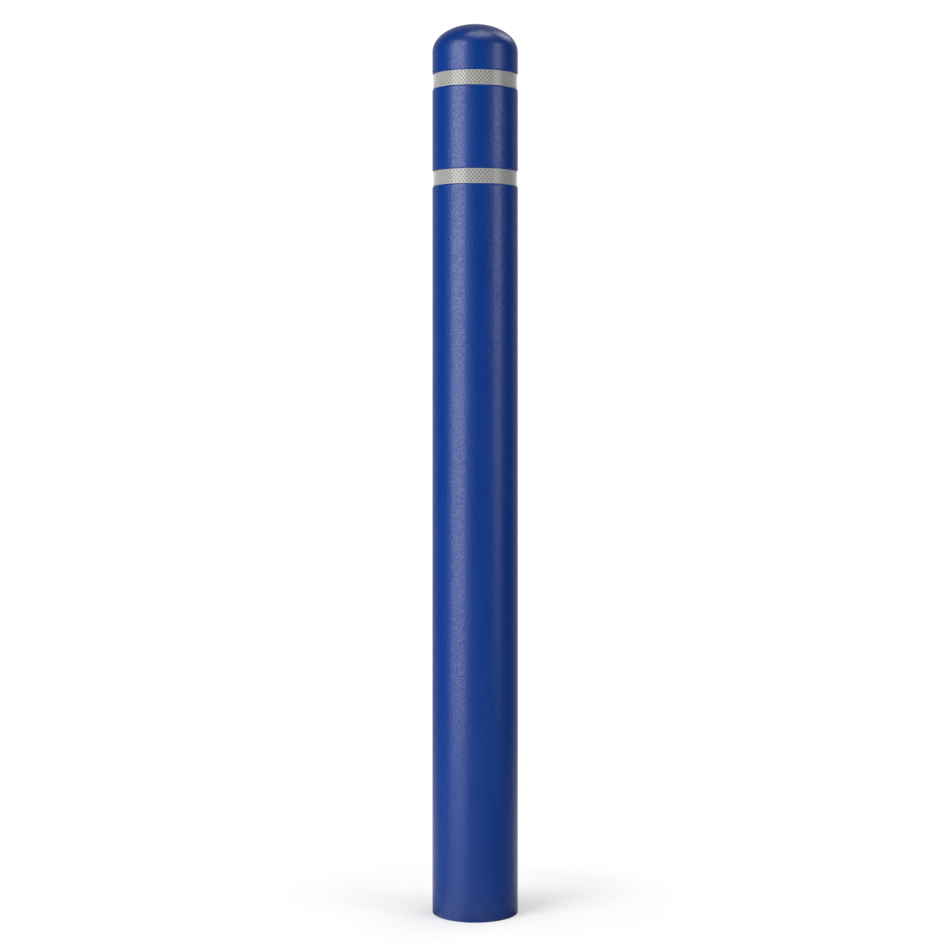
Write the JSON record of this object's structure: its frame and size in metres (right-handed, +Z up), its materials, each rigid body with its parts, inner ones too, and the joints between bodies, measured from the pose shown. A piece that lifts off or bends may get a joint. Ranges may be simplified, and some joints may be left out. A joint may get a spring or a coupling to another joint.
{
  "type": "safety bollard",
  "caption": "Floor-anchored steel pipe bollard inside a round-topped moulded plastic cover with two recessed reflective bands; the cover lifts off and the post lifts off its spigot.",
  "frame": {"origin": "on the floor at the bollard's axis, the centre of the base plate's underside", "axes": "+Z up along the bollard's axis; the reflective tape's ends meet at the back, on +Y; +X to the right of somebody who stands in front of it"},
  "size_m": [0.1269, 0.127, 1.3192],
  "materials": {
    "cover_plastic": "moulded polyethylene, satin with a fine leather grain",
    "reflective_film": "retroreflective prismatic film, light grey with a diamond lattice",
    "galvanised_steel": "hot-dip galvanised",
    "weld_metal": "rippled weld bead, galvanised",
    "black_oxide_steel": "black oxide",
    "foam": "closed-cell foam tape"
  },
  "bodies": {
    "base": {"base_plate": "galvanised_steel", "spigot_tube": "galvanised_steel", "spigot_weld": "weld_metal"},
    "post": {"post_pipe": "galvanised_steel", "post_cap": "galvanised_steel", "post_cap_weld": "weld_metal", "set_screw_lower_right": "black_oxide_steel", "set_screw_lower_back": "black_oxide_steel", "set_screw_lower_left": "black_oxide_steel", "set_screw_lower_front": "black_oxide_steel", "set_screw_upper_right": "black_oxide_steel", "set_screw_upper_back": "black_oxide_steel", "set_screw_upper_left": "black_oxide_steel", "set_screw_upper_front": "black_oxide_steel", "foam_strip_front_right": "foam", "foam_strip_back_right": "foam", "foam_strip_back_left": "foam", "foam_strip_front_left": "foam"},
    "cover": {"cover_shell": "cover_plastic", "lower_reflective_tape": "reflective_film", "upper_reflective_tape": "reflective_film"}
  },
  "joints": [
    {"name": "post_lift", "type": "slide", "parent": "base", "child": "post", "axis": [0, 0, 1], "range_m": [0, 0.2]},
    {"name": "cover_lift", "type": "slide", "parent": "post", "child": "cover", "axis": [0, 0, 1], "range_m": [0, 1.28]}
  ]
}
